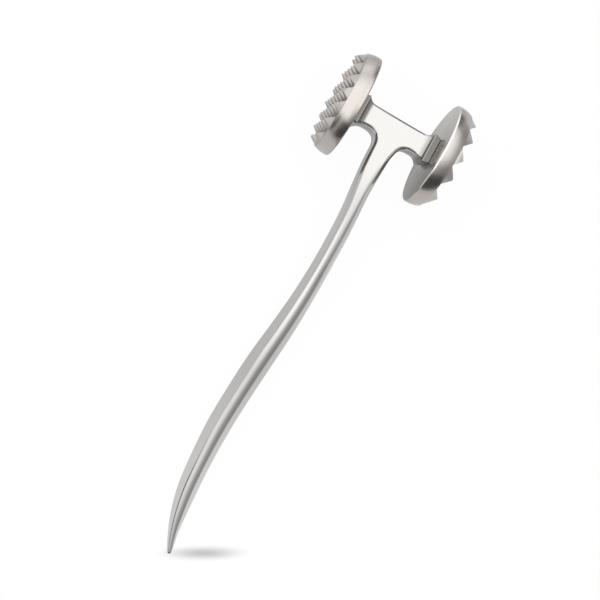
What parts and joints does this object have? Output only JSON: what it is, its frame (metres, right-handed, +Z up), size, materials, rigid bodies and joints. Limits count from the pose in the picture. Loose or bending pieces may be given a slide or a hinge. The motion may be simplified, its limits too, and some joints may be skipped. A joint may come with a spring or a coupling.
{
  "type": "meat mallet",
  "caption": "T-shaped metal meat mallet: round fine-toothed and coarse-toothed heads on a flared crossbar, with a long curved tapering handle.",
  "frame": {"origin": "on the table, under the middle of the overall box, with the mallet lying on both rims and the handle", "axes": "+Y along the handle from its tip to the heads, +Z up, square to the table, +X along the crossbar from the fine head to the coarse head"},
  "size_m": [0.0732, 0.2762, 0.0572],
  "materials": {
    "polished_casting": "polished and lightly brushed",
    "satin_head": "satin, bead blasted",
    "stud_steel": "machined"
  },
  "bodies": {
    "root": {"handle": "polished_casting", "fine_tooth_head": "satin_head", "coarse_tooth_head": "satin_head", "fine_head_stud": "stud_steel", "coarse_head_stud": "stud_steel"}
  },
  "joints": []
}
